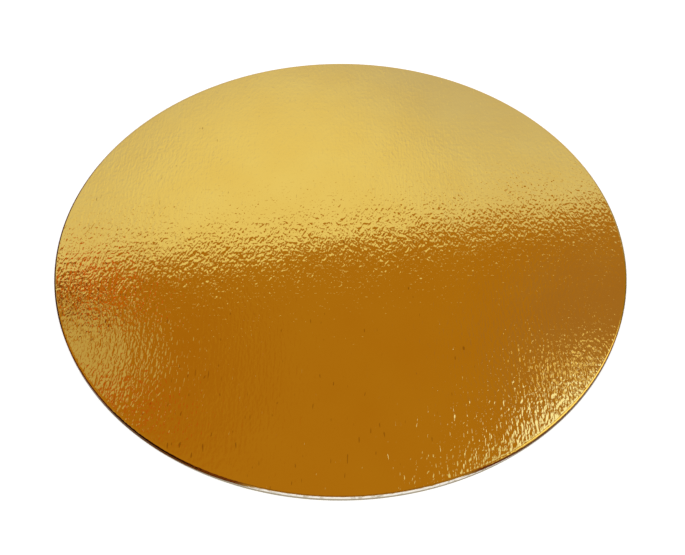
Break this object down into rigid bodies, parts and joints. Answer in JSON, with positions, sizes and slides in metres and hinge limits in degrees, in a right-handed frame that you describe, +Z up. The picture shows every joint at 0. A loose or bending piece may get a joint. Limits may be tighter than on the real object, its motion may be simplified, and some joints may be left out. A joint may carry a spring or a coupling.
{
  "type": "cake board",
  "caption": "Round cake board: a flat paperboard disc with a mirror gold foil face that rolls over at the cut rim and a raw board edge below it.",
  "frame": {"origin": "centre of the underside, on the surface that the board lies on", "axes": "+Z up, square to the disc, out of the foil face; the disc is round, so X and Y are free"},
  "size_m": [0.254, 0.254, 0.003],
  "materials": {
    "gold_foil": "polished",
    "pulp_board": "matte"
  },
  "bodies": {
    "root": {"paperboard_disc": "pulp_board", "foil_face": "gold_foil"}
  },
  "joints": []
}
